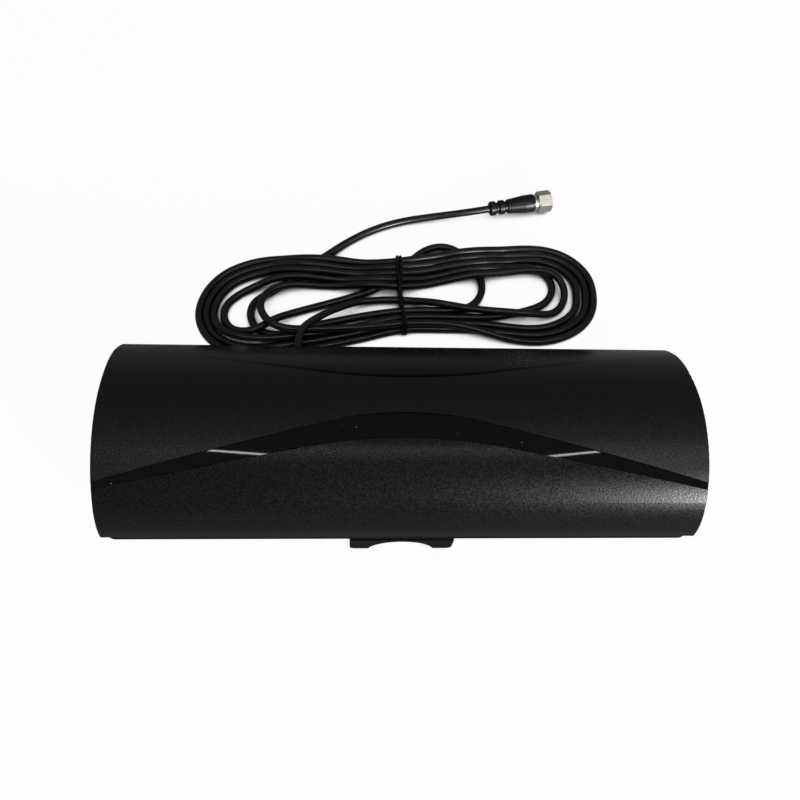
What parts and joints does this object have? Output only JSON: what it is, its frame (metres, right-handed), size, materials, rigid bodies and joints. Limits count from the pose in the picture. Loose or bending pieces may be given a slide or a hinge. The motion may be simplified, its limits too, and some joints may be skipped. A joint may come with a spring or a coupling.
{
  "type": "tv antenna",
  "caption": "Low curved plastic television antenna housing with a gloss strip across its face, a mast saddle behind and a tied hank of thin coaxial cable ending in a screw-on plug.",
  "frame": {"origin": "On the surface that the saddle's feet stand on, under the middle of the housing", "axes": "X along the housing, +Y from its lower to its upper edge, +Z out of its front face"},
  "size_m": [0.285, 0.2151, 0.0596],
  "materials": {
    "shell_plastic": "fine moulded texture",
    "panel_plastic": "fine moulded texture",
    "strip_gloss": "polished",
    "cover_plastic": "satin",
    "screw_steel": "zinc plated",
    "element_metal": "rolled sheet",
    "board_laminate": "laminate",
    "core_ferrite": "sintered",
    "winding_copper": "bare wire",
    "cable_jacket": "soft satin",
    "gland_rubber": "matte",
    "tie_plastic": "satin",
    "boot_plastic": "satin",
    "insulator_white": "satin",
    "plug_nickel": "nickel plated"
  },
  "bodies": {
    "antenna": {"front_shell": "shell_plastic", "face_panel": "panel_plastic", "accent_strip": "strip_gloss", "rear_cover": "cover_plastic", "mast_saddle": "cover_plastic", "case_screws": "screw_steel", "saddle_screws": "screw_steel", "left_element": "element_metal", "right_element": "element_metal", "element_screws": "screw_steel", "balun_board": "board_laminate", "balun_core": "core_ferrite", "balun_winding": "winding_copper", "cable_clamp": "screw_steel", "coax_tail": "cable_jacket", "cable_gland": "gland_rubber", "coax_lead": "cable_jacket", "coax_hank": "cable_jacket", "hank_tie": "tie_plastic", "plug_lead": "cable_jacket", "plug_boot": "boot_plastic", "plug_barrel": "plug_nickel", "plug_dielectric": "insulator_white", "plug_pin": "winding_copper"},
    "nut": {"plug_nut": "plug_nickel"}
  },
  "joints": [
    {"name": "nut_spin", "type": "hinge", "parent": "antenna", "child": "nut", "pos_m": [0.0563, 0.152, 0.0065], "axis": [0.9826, 0.1857, 0], "continuous": true}
  ]
}
